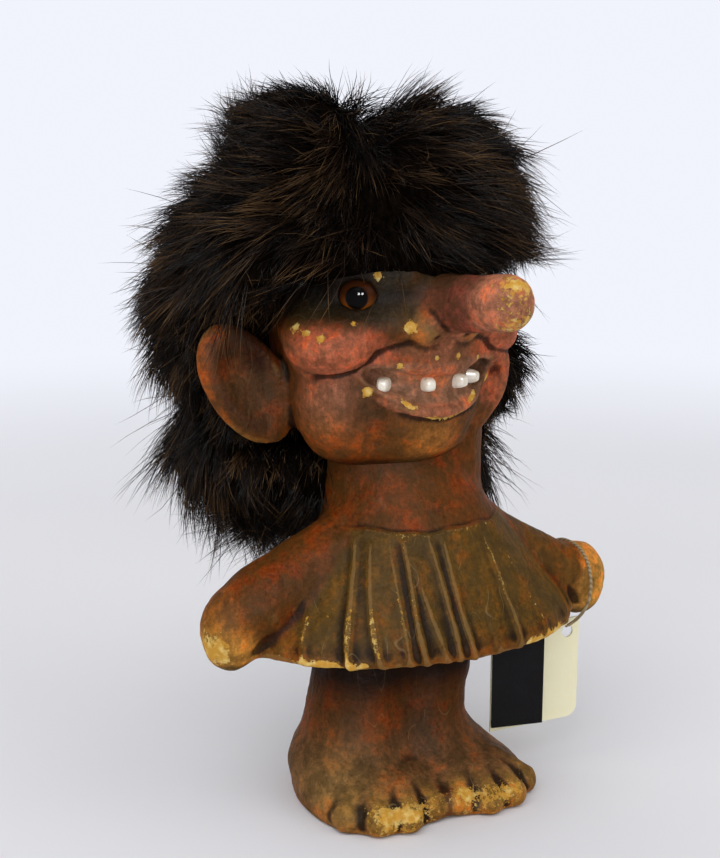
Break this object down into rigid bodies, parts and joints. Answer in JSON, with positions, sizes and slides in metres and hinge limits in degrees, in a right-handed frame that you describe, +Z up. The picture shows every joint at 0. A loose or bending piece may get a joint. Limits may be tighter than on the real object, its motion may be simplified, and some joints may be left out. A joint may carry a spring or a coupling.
{
  "type": "norwegian troll figure",
  "caption": "Standing folk troll with a long nose, big ears and a grin, in a flared pleated dress, with glass eyes, peg teeth, a shaggy fur wig and a folded swing tag on its hand.",
  "frame": {"origin": "on the flat sole, on the floor under the middle of the dress", "axes": "+Z up, the troll faces -Y, its left hand with the tag is at +X"},
  "size_m": [0.1094, 0.1048, 0.1685],
  "materials": {
    "painted_rubber": "matt hand paint, worn to ochre at the edges",
    "cork": "matt",
    "amber_glass": "polished",
    "black_glass": "polished",
    "wire": "drawn",
    "tooth_white": "satin",
    "hide": "suede",
    "fur": "long dark guard hairs with paler tips",
    "thread": "twisted",
    "cream_card": "uncoated card",
    "black_card": "satin card"
  },
  "bodies": {
    "figure": {"body_casting": "painted_rubber", "sole_plug": "cork", "head_casting": "painted_rubber", "eye_glass_left": "amber_glass", "eye_glass_right": "amber_glass", "eye_pupil_left": "black_glass", "eye_pupil_right": "black_glass", "eye_wire_left": "wire", "eye_wire_right": "wire", "tooth_1": "tooth_white", "tooth_2": "tooth_white", "tooth_3": "tooth_white", "tooth_4": "tooth_white", "wig_pelt": "hide", "wig_fur": "fur"},
    "tag": {"tag_thread": "thread", "tag_back_leaf": "cream_card"},
    "tag_cover": {"tag_cover_leaf": "black_card"}
  },
  "joints": [
    {"name": "tag_swing", "type": "hinge", "parent": "figure", "child": "tag", "pos_m": [0.0433, 0, 0.0475], "axis": [1, 0, 0], "range_deg": [-12, 15]},
    {"name": "tag_open", "type": "hinge", "parent": "tag", "child": "tag_cover", "pos_m": [0.0215, -0.00055, 0.024], "axis": [0, 0, -1], "range_deg": [-9, 80]}
  ]
}
